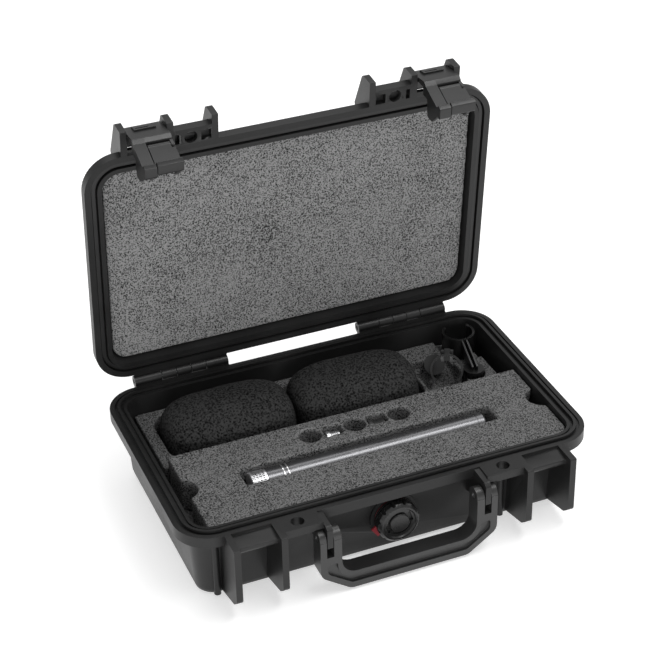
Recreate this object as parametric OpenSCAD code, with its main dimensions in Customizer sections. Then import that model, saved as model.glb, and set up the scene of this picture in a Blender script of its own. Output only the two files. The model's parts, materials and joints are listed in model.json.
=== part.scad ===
// Hard carrying case for a pencil microphone and its accessories.
// Frame: X to the right, Y to the back, Z up. The origin is the centre of the underside.
// The lid stands open on its stop, as it does when the case is in use.

/* [Case] */
// Overall width across the rim, side to side
case_w = 296; // [270:1:360]
// Overall depth across the rim, front to back
case_d = 183; // [165:1:240]
// Corner radius of the rim, seen from above
corner_r = 25; // [16:1:32]
// Height of the base, from its underside to the parting line
base_h = 58; // [50:1:90]
// Height of the lid above the parting line
lid_h = 28; // [24:1:50]
// Wall thickness of both shells
wall = 3.5; // [2.5:0.1:4.5]
// How far each wall leans in between the rim and the far face
draft = 3.5; // [1:0.5:6]
// Radius along the bottom edge of the base and the top edge of the lid
edge_r = 6; // [5:0.5:9]
// How far the lid stands open
open_angle = 84.5; // [0:0.5:100]

/* [Rim] */
// Width of the rim band
rim_w = 12; // [10:0.5:15]
// Height of the rim band on the base
base_rim_h = 8; // [6:0.5:12]
// Height of the rim band on the lid
lid_rim_h = 7; // [5:0.5:12]
// Distance from the outer edge of the rim to the middle of the sealing tongue
seal_inset = 6.6; // [5:0.1:8]
// Width of the sealing tongue
tongue_w = 2; // [1.4:0.1:3]
// Height of the sealing tongue above the rim
tongue_h = 1.3; // [0.8:0.1:2.5]
// Width of the groove in the lid that holds the gasket
gasket_groove_w = 4.4; // [3.4:0.1:5]
// Thickness of the gasket
gasket_t = 2; // [1.2:0.1:3]
// Depth of the two drip grooves beside the tongue
drip_groove_d = 1.2; // [0.5:0.1:2]

/* [Front ribs] */
// Distance from the side of the case to the middle of a latch
latch_inset = 44.5; // [40:0.5:50]
// Distance between the two ribs that guard a latch
latch_bay = 32; // [26:0.5:36]
// Thickness of a rib
rib_t = 4.5; // [3:0.25:6]
// How far the ribs stand out from the rim
rib_out = 18.5; // [16:0.5:22]
// How far the padlock plates and the catch ledge stand out from the rim
ledge_out = 12.5; // [11:0.5:14]
// Thickness of the padlock plates and the catch ledge
ledge_t = 6; // [4:0.5:7]
// Diameter of the padlock holes
padlock_d = 9; // [6:0.5:11]

/* [Hinge] */
// Distance from the back of the rim to the hinge pin
hinge_back = 6.1; // [5.5:0.1:8]
// Height of the hinge pin above the parting line
hinge_rise = 0.8; // [0.2:0.1:2]
// Diameter of the hinge pin
hinge_pin_d = 3; // [2:0.1:4]
// Diameter of a hinge knuckle
knuckle_d = 8; // [6.5:0.5:10]
// Width of the three middle knuckles
knuckle_w = 11.1; // [8:0.1:14]
// Width of the knuckle nearest the side of the case
knuckle_outer_w = 20.5; // [14:0.5:24]
// Width of the knuckle nearest the middle of the case
knuckle_inner_w = 17; // [12:0.5:20]
// Distance from the side of the case to the hinge
hinge_inset = 26.2; // [24:0.2:32]
// Gap between neighbouring knuckles
knuckle_gap = 0.5; // [0.3:0.1:1]

/* [Latch] */
// Gap between a latch and each rib beside it
latch_side_gap = 0.6; // [0.4:0.1:1.2]
// Diameter of the latch pin
latch_pin_d = 4; // [3:0.1:5]
// How far in front of the rim the latch pin lies
latch_pin_out = 9.5; // [8.5:0.25:10]
// Height of the latch pin above the parting line
latch_pin_rise = 8; // [7:0.25:9]
// Length of the latch below the parting line
latch_drop = 36; // [33:0.5:40]
// Width of the fixed strip beside the lever
latch_strip_w = 8.2; // [5:0.2:10]
// Diameter of the lever pin
lever_pin_d = 2; // [1.5:0.1:2.4]
// Clearance under the catch ledge
catch_gap = 0.6; // [0.4:0.1:1]

/* [Handle] */
// Outside width of the handle
handle_w = 127; // [115:1:135]
// Width of the hand opening
handle_open_w = 97; // [85:1:105]
// Front-to-back thickness of the handle
handle_t = 12.5; // [10.5:0.5:13.5]
// Height of the lowest edge of the handle above the floor
handle_low = 2.3; // [1.5:0.1:10]
// Height of the grip bar
grip_h = 13.5; // [10:0.5:16]
// Distance from the middle of the case to the middle of a handle lug
handle_lug_x = 56.5; // [52:0.5:60]
// Thickness of a handle lug
handle_lug_t = 4; // [3:0.25:5]
// Gap between a lug and each arm of the fork
handle_side_gap = 0.5; // [0.3:0.1:1]
// Diameter of the handle pins
handle_pin_d = 4; // [3:0.1:5]
// How far in front of the rim the handle pins lie
handle_pin_out = 12; // [11:0.25:13]
// Distance from the parting line down to the handle pins
handle_pin_down = 12.7; // [12.6:0.1:15]

/* [Purge valve] */
// Diameter of the purge valve knob
knob_d = 30; // [24:0.5:32]
// Thickness of the knob
knob_t = 7; // [5:0.25:7.5]
// Distance from the parting line down to the middle of the valve
valve_down = 28; // [27:0.5:30]
// Diameter of the valve barrel
valve_barrel_d = 12; // [8:0.5:16]
// How far the valve barrel reaches in behind its seat
valve_barrel_l = 5; // [4:0.5:8]
// Thickness of the flange under the knob
valve_flange_t = 1.8; // [1:0.1:2.5]
// Thickness of the red seal
valve_seal_t = 1.2; // [0.8:0.1:2]

/* [Foam] */
// Distance from the parting line down to the top of the base foam
foam_down = 14; // [8:0.5:18]
// Distance from the parting line down to the top of the tray
tray_down = 4; // [3:0.5:8]
// Thickness of the lift-out tray
tray_t = 26; // [20:0.5:30]
// Front-to-back depth of the bay behind the tray
bay_d = 67.3; // [65:0.1:72]
// Gap left at the side of the tray for the fingers
tray_side_gap = 9; // [6:0.5:12]
// How far the lid pad stays back from the parting line
lid_pad_back = 5; // [3:0.25:8]
// Radius of the finger notches in the ends of the tray
notch_r = 11; // [8:0.5:13]
// Diameter of the finger holes
finger_hole_d = 16; // [12:0.5:20]
// Distance between the finger holes
finger_hole_pitch = 33; // [28:0.5:38]

/* [Contents] */
// Diameter of the microphone
mic_d = 19; // [16:0.5:21]
// Length of the microphone
mic_l = 173; // [140:1:178]
// Diameter of a foam windscreen
screen_d = 56; // [48:0.5:57]
// Width of the bay for the clips, at the right of the windscreens
clip_bay = 62; // [58:0.5:66]
// Gap between the left windscreen and the side wall
screen_side_gap = 15; // [8:0.5:16]
// Length of the grille at the front end of the microphone
grille_l = 12; // [9:0.5:16]
// Distance from the front end of the microphone to its first bright ring
ring_at = 23; // [18:0.5:30]
// Distance between the two bright rings
ring_pitch = 3.2; // [2.6:0.1:5]
// Width of a bright ring
ring_w = 1.2; // [0.8:0.1:2]
// Depth of the socket at the rear end of the microphone
socket_deep = 15; // [12:0.5:18]
// Outside diameter of the ring of a microphone clip
clip_d = 22; // [20:0.5:24]
// Width of the ring of the front clip
clip_front_h = 10; // [8:0.5:12]
// Width of the ring of the rear clip
clip_rear_h = 17; // [14:0.5:17.5]
// Diameter of the stand socket of a clip
nut_d = 15; // [13:0.5:16]

/* [Hidden] */
$fn = 64;

fit = 0.05;                                  // radial running clearance of a pin in its bore
seat = 0.3;                                  // gap between a loose piece and its seat
seam = 0.02;                                 // gap between the two rims when the lid is shut
front = -case_d / 2;                         // front edge of the rim
back = case_d / 2;                           // back edge of the rim
wall_in = rim_w - wall;                      // outer wall, measured in from the rim
latch_x = case_w / 2 - latch_inset;          // middle of a latch
latch_w = latch_bay - rib_t - 2 * latch_side_gap;
rib_xs = [latch_x - latch_bay / 2, latch_x + latch_bay / 2];
hinge_y = back + hinge_back;
hinge_z = base_h + hinge_rise;
seal_in = seal_inset - tongue_w / 2;         // outer side of the tongue
groove_in = seal_inset - gasket_groove_w / 2;
gasket_groove_d = tongue_h + seat + gasket_t;
latch_pin_y = front - latch_pin_out;
valve_z = base_h - valve_down;
foam_top = base_h - foam_down;
tray_top = base_h - tray_down;
handle_pin_y = front - handle_pin_out;
handle_pin_z = base_h - handle_pin_down;
handle_arm_r = 6.2;                          // round end of each arm, about its pin
handle_front = handle_pin_y - 6.5;           // front face of the handle
handle_stop = handle_low;                    // lowest edge of the handle
padlock_x = (rib_xs[0] + handle_lug_x) / 2 + 1.5;
padlock_y = front - 4.9;
catch_z = -ledge_t - 2;                      // underside of the catch ledge, from the parting line
lever_pin_y = front - 12.2;
lever_pin_z = -15;
lever_w = latch_w - latch_strip_w - 0.5;
valve_seat_y = front + wall_in - 0.2;        // flat face that the valve sits on
inner_w = case_w / 2 - rim_w - draft;        // half width inside, at the floor
inner_d = case_d / 2 - rim_w - draft;
tray_left = -inner_w + tray_side_gap - 3;
tray_right = inner_w + 1.2;
tray_front = -inner_d - 1.1;
tray_back = inner_d - bay_d;
screen_l = inner_w - (clip_bay + screen_side_gap + 2) / 2;   // length of a foam windscreen
mic_x = 3.2;                                 // middle of the microphone
mic_y = tray_back - 42;
mic_z = base_h + lid_pad_back - 0.7 - mic_d / 2;
screen_z = base_h + lid_pad_back - 0.7 - screen_d / 2;
screen_floor = screen_z - screen_d / 2 - seat;
screen_y = tray_back + 34;
screen_xs = [for (i = [0.5, 1.5]) screen_side_gap - inner_w + i * screen_l + (i > 1 ? 2 : 0)];
finger_x = 4.2;                              // middle finger hole
finger_y = tray_back - 16.2;
clip_ring_t = 1.6;                           // wall of a clip ring
adapter_d = 9;                               // thread diameter of an adapter
adapter_z = tray_top - 4.1;

// ---- outlines ----------------------------------------------------------------------------

// Points of an arc about c, from angle a to angle b
function arc(c, r, a, b, n = 8) =
    [for (i = [0:n]) let (t = a + (b - a) * i / n) c + r * [cos(t), sin(t)]];

// A corner p between points a and b, rounded to radius r
function corner(a, p, b, r) =
    let (u = (a - p) / norm(a - p), v = (b - p) / norm(b - p))
    let (half = acos(min(1, max(-1, u * v))) / 2, m = (u + v) / norm(u + v))
    let (c = p + m * r / sin(half), turn = 90 - half)
    let (mid = atan2(-m[1], -m[0]), way = u[0] * v[1] - u[1] * v[0] > 0 ? -1 : 1)
    arc(c, r, mid - way * turn, mid + way * turn, 6);

// An outline of [x, y, radius] points with each corner rounded
function rounded(p) =
    [for (i = [0:len(p) - 1])
        let (n = len(p), a = p[(i + n - 1) % n], b = p[(i + 1) % n], q = p[i])
        each q[2] > 0
            ? corner([a[0], a[1]], [q[0], q[1]], [b[0], b[1]], q[2])
            : [[q[0], q[1]]]];

// An outline in the Y-Z plane, extruded along +X from x by t
module side_plate(x, t, outline) {
    translate([x, 0, 0]) rotate([90, 0, 90]) linear_extrude(t) polygon(outline);
}

// An outline in the X-Z plane, extruded from y towards the front by t
module front_plate(y, t, outline) {
    translate([0, y, 0]) rotate([90, 0, 0]) linear_extrude(t) polygon(outline);
}

// A cylinder along X, from x to x + l
module x_rod(x, y, z, d, l) {
    translate([x, y, z]) rotate([0, 90, 0]) cylinder(d = d, h = l);
}

// A rectangle with round corners, w by d
module round_rect(w, d, r) {
    square([w - 2 * r, d], center = true);
    square([w, d - 2 * r], center = true);
    for (x = [-1, 1], y = [-1, 1]) translate([x * (w / 2 - r), y * (d / 2 - r)]) circle(r);
}

// The plan of the rim, drawn in by inset
module plan(inset) {
    round_rect(case_w - 2 * inset, case_d - 2 * inset, max(corner_r - inset, 3));
}

module plan_band(inset, width) {
    difference() {
        plan(inset);
        plan(inset + width);
    }
}

// A drafted, round-edged block: plan(top_in) at height h, leaning in towards z = 0
module tub(top_in, lean, h, r) {
    hull() {
        for (i = [0:3]) {
            a = i * 30;
            translate([0, 0, r * (1 - sin(a))]) linear_extrude(0.02)
                plan(top_in + lean + r * (1 - cos(a)), $fn = 40);
        }
        translate([0, 0, h - 0.02]) linear_extrude(0.02) plan(top_in, $fn = 40);
    }
}

module mirror_pair() {
    children();
    mirror([1, 0, 0]) children();
}

// Places pieces of the lid, which are drawn closed with the parting line at z = 0
module in_lid() {
    translate([0, hinge_y, hinge_z]) rotate([-open_angle, 0, 0])
        translate([0, -hinge_y, -hinge_rise]) children();
}

// ---- base --------------------------------------------------------------------------------

// A guard rib of the base: it stands on the front wall and slopes back under the case
module base_rib(x) {
    side_plate(x - rib_t / 2, rib_t, rounded([
        [front + wall_in + 4, base_h - 1, 0], [front + wall_in + 4, 8, 0],
        [front + rim_w + 2, 4.4, 0], [front - rib_out + 6, 11, 4],
        [front - rib_out, 16, 4], [front - rib_out, base_h, 0.8],
        [front + 3, base_h, 0]]));
}

// The plates that the shackle of a padlock passes through, each between a guard rib and x0
module padlock_plates(x0, z0, t, out) {
    mirror_pair() difference() {
        translate([x0, front - out, z0]) cube([rib_xs[0] - rib_t / 2 - x0, out, t]);
        translate([padlock_x, padlock_y, z0 - 1]) cylinder(d = padlock_d, h = t + 2);
        children();
    }
}

// Room for the outer arm of the handle as it swings up under the plate
module handle_arm_room() {
    x_rod(handle_lug_x + handle_lug_t / 2, handle_pin_y, handle_pin_z, 15,
        handle_w / 2 - handle_lug_x);
}

module base_plates() {
    color("dimgray")
        padlock_plates(handle_lug_x + handle_lug_t / 2, base_h - ledge_t, ledge_t, ledge_out)
            handle_arm_room();
}

// The ledge under which the latch hooks
module catch_ledge() {
    side_plate(rib_xs[0], latch_bay, rounded([
        [front + 2, base_h - 2, 0], [front + 2, base_h + catch_z, 0],
        [front - ledge_out + 1, base_h + catch_z, 1], [front - ledge_out, base_h - ledge_t, 1],
        [front - ledge_out, base_h - 3.4, 1]]));
}

module handle_lug() {
    side_plate(handle_lug_x - handle_lug_t / 2, handle_lug_t, rounded([
        [front + wall_in + 3, base_h - 1, 0], [front + wall_in + 3, base_h - 26, 0],
        [handle_pin_y + 6, handle_pin_z - 7, 3], [front - rib_out, handle_pin_z - 6, 1.5],
        [front - rib_out, base_h - 4, 1.5], [front - rib_out + 3, base_h - 1.5, 1.5],
        [front + 2, base_h - 1, 0]]));
}

// Knuckles i of one hinge (0 is nearest the side), with the web that carries them
function knuckle_x(i) = case_w / 2 - hinge_inset
    - (i == 0 ? 0 : knuckle_outer_w + (i - 1) * knuckle_w);
function knuckle_len(i) = i == 0 ? knuckle_outer_w : i == 4 ? knuckle_inner_w : knuckle_w;

module knuckle(i, z, web_low, web_high) {
    l = knuckle_len(i) - knuckle_gap;
    x = knuckle_x(i) - knuckle_gap / 2 - l;
    difference() {
        union() {
            x_rod(x, hinge_y, z, knuckle_d, l);
            translate([x, back - 2, web_low]) cube([l, hinge_back + 2, web_high - web_low]);
        }
        x_rod(x - 1, hinge_y, z, hinge_pin_d + 2 * fit, l + 2);
    }
}

// What lies between two heights
module between(low, high) {
    intersection() {
        children();
        translate([-case_w, -case_d, low]) cube([2 * case_w, 2 * case_d, high - low]);
    }
}

// The walls, the rim and all that they carry. The moulding goes on as the floor below edge_r.
module base_shell() {
    color("dimgray") {
        between(edge_r, base_h + 3) base_form();
        mirror_pair() for (i = [0, 2, 4])
            knuckle(i, hinge_z, base_h - base_rim_h, base_h - 0.6);
    }
}

module base_floor() {
    color("dimgray") between(-1, edge_r) base_form();
}

module base_form() {
    difference() {
        union() {
            tub(wall_in, draft, base_h, edge_r);
            translate([0, 0, base_h - base_rim_h]) linear_extrude(base_rim_h) plan(0);
            translate([0, 0, base_h - 1]) linear_extrude(1 + tongue_h)
                plan_band(seal_in, tongue_w);
            mirror_pair() {
                for (x = rib_xs) base_rib(x);
                catch_ledge();
                handle_lug();
                // stiffening beads on the front wall, beside the outer and inner ribs
                for (x = [rib_xs[0] - 7, rib_xs[1] + 5.5])
                    translate([x, front + wall_in + 2.2, 3.5])
                        cylinder(r = 2.4, h = base_h - base_rim_h - 3);
            }
            // pad that the purge valve seats on
            translate([0, valve_seat_y, valve_z]) rotate([-90, 0, 0])
                cylinder(d = knob_d + 4, h = 5);
        }
        cavity(base_h, wall);
        for (i = [seal_in - drip_groove_w(), seal_in + tongue_w])
            translate([0, 0, base_h - drip_groove_d]) linear_extrude(drip_groove_d + 3)
                plan_band(i, drip_groove_w());
        mirror_pair() {
            handle_arm_room();
            x_rod(handle_lug_x - 9, handle_pin_y, handle_pin_z, handle_pin_d + 2 * fit, 18);
        }
        translate([0, front - 1, valve_z]) rotate([-90, 0, 0])
            cylinder(d = valve_barrel_d + 2 * fit, h = rim_w + draft + 8);
    }
}

function drip_groove_w() = 2.2;

// The space inside a shell of height h, open at the rim
module cavity(h, floor_t) {
    hull() {
        translate([0, 0, floor_t]) linear_extrude(0.02)
            plan(rim_w + draft + edge_r - wall, $fn = 40);
        translate([0, 0, floor_t + edge_r - wall]) linear_extrude(0.02)
            plan(rim_w + draft, $fn = 40);
        translate([0, 0, h]) linear_extrude(4) plan(rim_w, $fn = 40);
    }
}

module hinge_pins() {
    l = knuckle_outer_w + 3 * knuckle_w + knuckle_inner_w - 2;
    color("silver") mirror_pair()
        x_rod(case_w / 2 - hinge_inset - 1 - l, hinge_y, hinge_z, hinge_pin_d, l);
}

// ---- lid ---------------------------------------------------------------------------------

// A guard rib of the lid: full height at the parting line, sloping back to the top of the lid
module lid_rib(x) {
    difference() {
        side_plate(x - rib_t / 2, rib_t, rounded([
            [front + 3, 0, 0], [front - rib_out, 0, 0.8], [front - rib_out, 13, 3.5],
            [front + wall_in + draft - 2, lid_h - 3, 2], [front + wall_in + 4, lid_h - 6, 0]]));
        children();
    }
}

// The blind socket of a latch pin, and the slot that the pin snaps in through
module latch_pin_socket(x, depth) {
    x_rod(x, latch_pin_y, latch_pin_rise, latch_pin_d, depth);
    side_plate(x, depth, [
        [latch_pin_y - 1.6, latch_pin_rise], [latch_pin_y + 1.6, latch_pin_rise],
        [latch_pin_y + 3.6, latch_pin_rise + 14], [latch_pin_y + 0.4, latch_pin_rise + 14]]);
}

// The walls, the rim and all that they carry. The moulding goes on as the top of the lid.
module lid_shell() {
    color("dimgray") in_lid() {
        between(seam, lid_h - edge_r) lid_form();
        mirror_pair() for (i = [1, 3]) knuckle(i, hinge_rise, 0.6, lid_rim_h - 2);
    }
}

module lid_top() {
    color("dimgray") in_lid() between(lid_h - edge_r, lid_h + 1) lid_form();
}

module lid_plates() {
    color("dimgray") in_lid()
        padlock_plates(handle_lug_x + rib_t / 2, seam, lid_rim_h - seam, ledge_out - 1) {
            // core-outs, one on each side of the hole
            translate([padlock_x - padlock_d - 5.2, padlock_y - 3.3, -1]) cube([7, 7.2, 5.5]);
            translate([padlock_x + padlock_d - 1, padlock_y - 3.3, -1]) cube([3, 7.2, 5.5]);
        }
}

module lid_form() {
    difference() {
        union() {
            translate([0, 0, lid_h]) mirror([0, 0, 1]) tub(wall_in, draft, lid_h, edge_r);
            linear_extrude(lid_rim_h) plan(0);
            mirror_pair() {
                lid_rib(handle_lug_x);
                lid_rib(rib_xs[0]) latch_pin_socket(rib_xs[0] + rib_t / 2 - 2.2, 3);
                lid_rib(rib_xs[1]) latch_pin_socket(rib_xs[1] - rib_t / 2 - 0.8, 3);
            }
        }
        translate([0, 0, lid_h]) mirror([0, 0, 1]) cavity(lid_h, wall);
        translate([0, 0, -3]) linear_extrude(3 + gasket_groove_d)
            plan_band(groove_in, gasket_groove_w);
    }
}

module lid_gasket() {
    color("black") in_lid() translate([0, 0, gasket_groove_d - gasket_t])
        linear_extrude(gasket_t) plan_band(groove_in + 0.5, gasket_groove_w - 1);
}

// A foam block with leaning sides: the plan drawn in by low at z = a and by high at z = b
module foam_block(a, low, b, high) {
    hull() {
        translate([0, 0, a]) linear_extrude(0.02) plan(low, $fn = 40);
        translate([0, 0, b - 0.02]) linear_extrude(0.02) plan(high, $fn = 40);
    }
}

module lid_pad() {
    color("#4a4a4a") in_lid() foam_block(
        lid_pad_back, rim_w + 0.9 + draft * lid_pad_back / lid_h,
        lid_h - wall, rim_w + draft + edge_r - wall + 0.4);
}

// ---- latches -----------------------------------------------------------------------------

// Outer face of a latch: distance in front of the rim at height z
function face_out(z) = z > -12 ? 15.3 : 15.3 + (z + 12) * 0.32;

module at_latch(side) {
    in_lid() translate([side * latch_x, 0, 0]) children();
}

module latch_pins() {
    l = latch_bay - rib_t + 2 * 2;
    color("silver") for (side = [-1, 1])
        at_latch(side) x_rod(-l / 2, latch_pin_y, latch_pin_rise, latch_pin_d, l);
}

// Outlines of the body in the Y-Z plane. Both share the head round the pin and the hook.
function latch_head() = [
    [front - 7.3, latch_pin_rise + 6, 2], [front - 13.4, latch_pin_rise + 6, 2.5],
    [front - 17.6, -9, 0.8], [front - 15.3, -12, 0.5]];
function latch_hook() = [
    [front - 7.4, catch_z - catch_gap - 4, 1], [front - 7, catch_z - catch_gap, 1],
    [front - 12.9, catch_z - catch_gap + 0.3, 0.5], [front - 12.9, -1, 0.8],
    [front - 11.9, 0.8, 0], [front - 4.9, 1.2, 2.5], [front - 4.4, latch_pin_rise + 3, 3]];

// The body: head round the pin, hook under the ledge, cheeks, and the strip beside the lever
module latch_body() {
    x0 = -latch_w / 2;
    split = x0 + latch_strip_w;
    difference() {
        union() {
            // strip at the left of the lever, out to the face of the latch
            side_plate(x0, latch_strip_w, rounded(concat(latch_head(), [
                [front - face_out(5 - latch_drop), 5.4 - latch_drop, 1.2],
                [front - 12.2, 3.4 - latch_drop, 0.8], [front - 10.4, -latch_drop, 0.8],
                [front - 2, -latch_drop, 1.5], [front - 3.6, -latch_drop + 7, 1]],
                latch_hook())));
            // back plate behind the lever
            side_plate(split, latch_w - latch_strip_w, rounded(concat(latch_head(), [
                [front - 12.6, -12.2, 0.3], [front - 11.2, -14, 0.5],
                [front - 5.4, -latch_drop + 5, 0.5], [front - 3.2, -latch_drop + 5, 0.5]],
                latch_hook())));
            // cheek that stiffens each side
            for (x = [x0, latch_w / 2 - 2.4])
                side_plate(x, 2.4, rounded([
                    [front - 8, -15, 0], [front + 5.5, -17, 2], [front + 5.5, -24, 2],
                    [front - 3, -latch_drop + 4, 1], [front - 5, -latch_drop + 4, 0]]));
            // ear that carries the right end of the lever pin
            side_plate(latch_w / 2 - 2, 2, rounded([
                [front - 12, -11, 0], [front - 14.6, -11.6, 0.5], [lever_pin_y - 1.8, -18, 1],
                [front - 8.6, -17.5, 0]]));
            // raised thumb pad on the head
            side_plate(-7.5, 15, rounded([
                [front - 12, 10.5, 0], [front - 15.3, 10, 0.6], [front - 16.6, 3.6, 0.6],
                [front - 13, 3, 0]]));
        }
        x_rod(x0 - 1, latch_pin_y, latch_pin_rise, latch_pin_d + 2 * fit, latch_w + 2);
        x_rod(x0 + 2, lever_pin_y, lever_pin_z, lever_pin_d, latch_w);
        // slot across the thumb pad
        translate([-6, front - 20, 4.6]) cube([9, 5.6, 1.1]);
        // room for the round end of the lever
        x_rod(split, lever_pin_y, lever_pin_z, 5.6, latch_w - latch_strip_w - 2);
    }
}

// The lever: a leaning plate with a flared lip, hinged at its upper end
module latch_lever() {
    x0 = -latch_w / 2 + latch_strip_w + 0.5;
    top = lever_pin_z;
    difference() {
        union() {
            x_rod(x0, lever_pin_y, lever_pin_z, 4.8, lever_w - 2.5);
            side_plate(x0, lever_w, rounded([
                [front - 12, top + 1.5, 0], [front - face_out(top) - 0.2, top, 0.8],
                [front - face_out(5 - latch_drop), 5.4 - latch_drop, 1.2],
                [front - 13, 3.4 - latch_drop, 0.8], [front - 11.2, -latch_drop, 0.8],
                [front - 3.2, -latch_drop, 1],
                [front - 6.4, -latch_drop + 4.4, 0.5], [front - 11.9, top - 1.5, 0]]));
        }
        x_rod(x0 - 1, lever_pin_y, lever_pin_z, lever_pin_d + 2 * fit, lever_w + 2);
        // notch round the ear of the body
        x_rod(latch_w / 2 - 2.5, lever_pin_y, lever_pin_z, 9, 4);
    }
}

module lever_pin(side) {
    color("silver") at_latch(side)
        x_rod(-latch_w / 2 + 2.2, lever_pin_y, lever_pin_z, lever_pin_d, latch_w - 2.6);
}

// ---- handle ------------------------------------------------------------------------------

module handle() {
    half = handle_w / 2;
    open_half = handle_open_w / 2;
    top = handle_pin_z + handle_arm_r;
    bottom = handle_stop;
    back_y = handle_front + handle_t;
    slot = handle_lug_t + 2 * handle_side_gap;
    color("dimgray") difference() {
        front_plate(back_y, handle_t, rounded([
            [-half, top, 0], [-half, bottom + 15, 8], [-half + 21, bottom, 8],
            [half - 21, bottom, 8], [half, bottom + 15, 8], [half, top, 0],
            [open_half, top, 0], [open_half, bottom + grip_h, 11],
            [-open_half, bottom + grip_h, 11], [-open_half, top, 0]]));
        mirror_pair() {
            // fork that straddles the lug
            translate([handle_lug_x - slot / 2, handle_front - 1, handle_pin_z - 13])
                cube([slot, handle_t + 2, 30]);
            x_rod(open_half - 1, handle_pin_y, handle_pin_z, handle_pin_d, half - open_half + 2);
            // round end of the arms
            difference() {
                translate([open_half - 1, handle_front - 1, handle_pin_z])
                    cube([half - open_half + 2, handle_t + 2, 20]);
                x_rod(open_half - 2, handle_pin_y, handle_pin_z, 2 * handle_arm_r, 40);
            }
        }
        // channel along the front of the grip
        front_plate(handle_front + 2.2, 4, rounded([
            [-half + 5, handle_pin_z - 19, 1.5], [-half + 5, bottom + 16.5, 5],
            [-half + 22, bottom + 4.6, 5], [half - 22, bottom + 4.6, 5],
            [half - 5, bottom + 16.5, 5], [half - 5, handle_pin_z - 19, 1.5],
            [open_half + 3, handle_pin_z - 19, 1], [open_half + 3, bottom + grip_h - 3, 11],
            [-open_half - 3, bottom + grip_h - 3, 11], [-open_half - 3, handle_pin_z - 19, 1]]));
    }
}

module handle_pins() {
    l = handle_w / 2 - handle_open_w / 2 - 1;
    color("silver") mirror_pair()
        x_rod(handle_open_w / 2 + 0.5, handle_pin_y, handle_pin_z, handle_pin_d, l);
}

// ---- purge valve -------------------------------------------------------------------------

// Placed at the valve, with +Z pointing out of the front of the case from the seat
module at_valve() {
    translate([0, valve_seat_y, valve_z]) rotate([90, 0, 0]) children();
}

module valve_seal() {
    color("firebrick") at_valve() difference() {
        union() {
            cylinder(d = knob_d - 2, h = valve_seal_t);
            rotate([0, 0, 215]) translate([knob_d / 2 - 4, -4, 0]) cube([6.6, 8, valve_seal_t]);
        }
        translate([0, 0, -1]) cylinder(d = valve_barrel_d + 2 * fit, h = 4);
    }
}

module valve_body() {
    color("#2a2a2a") at_valve() difference() {
        union() {
            translate([0, 0, -valve_barrel_l]) cylinder(d = valve_barrel_d, h = valve_barrel_l + 2);
            translate([0, 0, valve_seal_t]) cylinder(d = knob_d - 1, h = valve_flange_t);
            translate([0, 0, 2]) cylinder(d = 8, h = 5);
        }
        translate([0, 0, -6]) cylinder(d = 3, h = 20);
    }
}

module valve_knob() {
    r = knob_d / 2;
    color("#1c1c1c") at_valve() translate([0, 0, valve_seal_t + valve_flange_t + seat]) difference() {
        rotate_extrude() polygon([
            [4 + fit, 0], [r - 1, 0], [r, 1], [r, knob_t - 2], [r - 2, knob_t],
            [r - 3.2, knob_t], [r - 4, knob_t - 1], [8.8, knob_t - 1], [8.8, knob_t - 2.2],
            [7.2, knob_t - 2.2], [7.2, knob_t - 0.6], [6.6, knob_t], [0, knob_t],
            [0, knob_t - 3], [4 + fit, knob_t - 3]]);
        // finger notches round the edge
        for (a = [0:30:330]) rotate([0, 0, a + 15]) translate([r + 0.5, 0, -1])
            cylinder(r = 1.4, h = knob_t + 2);
        // slot for a coin across each side of the middle disc
        for (a = [20, 200]) rotate([0, 0, a]) translate([6.6, -3.5, knob_t - 3])
            cube([3, 7, 4]);
    }
}

// ---- foam --------------------------------------------------------------------------------

module screen_pocket(x) {
    translate([x, screen_y, screen_floor])
        linear_extrude(60) round_rect(screen_l + 5, screen_d + 4.5, 17);
}

module foam_base() {
    color("#3c3c3c") difference() {
        foam_block(wall, rim_w + draft + edge_r - wall + 0.4,
            foam_top, rim_w + 0.5 + draft * (1 - foam_top / base_h));
        // side gaps at the top of the block
        for (s = [-1, 1]) translate([s * (inner_w + 6.5), 0, foam_top - 9])
            cube([20, case_d, 20], center = true);
        // seat of the tray
        translate([-case_w / 2, -case_d, tray_top - tray_t - seat])
            cube([case_w, case_d + tray_back + 0.6, 60]);
        for (x = screen_xs) screen_pocket(x);
        // pockets of the two clips, and the round wells of their stand sockets
        translate([clip_front_at[0] - 19, tray_back + 9.6, clip_front_floor]) cube([31, 39.8, 60]);
        translate([clip_rear_at[0] - 13.5, clip_rear_at[1] - 17, rear_low - seat]) cube([26, 60, 60]);
        translate([clip_rear_nut[0], clip_rear_nut[1], nut_low - seat])
            cylinder(d = nut_d + 1.6, h = 60);
    }
}

// Outline of the tray; out follows the leaning walls at the front and the right
module tray_slab(out) {
    linear_extrude(0.02) polygon(rounded([
        [tray_left, tray_front - out, 6], [tray_right + out, tray_front - out, 13],
        [tray_right + out, tray_back, 0], [tray_left, tray_back, 0]]));
}

module foam_tray() {
    lean = draft * tray_t / (base_h - edge_r);
    color("#4d4d4d") difference() {
        hull() {
            translate([0, 0, tray_top - tray_t]) tray_slab(0);
            translate([0, 0, tray_top - 0.02]) tray_slab(lean);
        }
        trough(mic_x + 1.5, mic_y, mic_z, mic_l + 13, mic_d + 2 * seat);
        for (i = [-1:1]) translate([finger_x + i * finger_hole_pitch, finger_y, tray_top - 18])
            cylinder(d = finger_hole_d, h = 30);
        // pockets of the adapters, between the finger holes
        for (i = [-0.5, 0.5])
            translate([finger_x + i * finger_hole_pitch, finger_y, adapter_z + 5])
                cube([finger_hole_pitch - finger_hole_d - 3, adapter_d + 2.2, 21.2], center = true);
        for (x = [tray_left - 3, tray_right + 4]) translate([x, mic_y + 3.5, 0])
            cylinder(r = notch_r, h = 90);
    }
}

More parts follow.
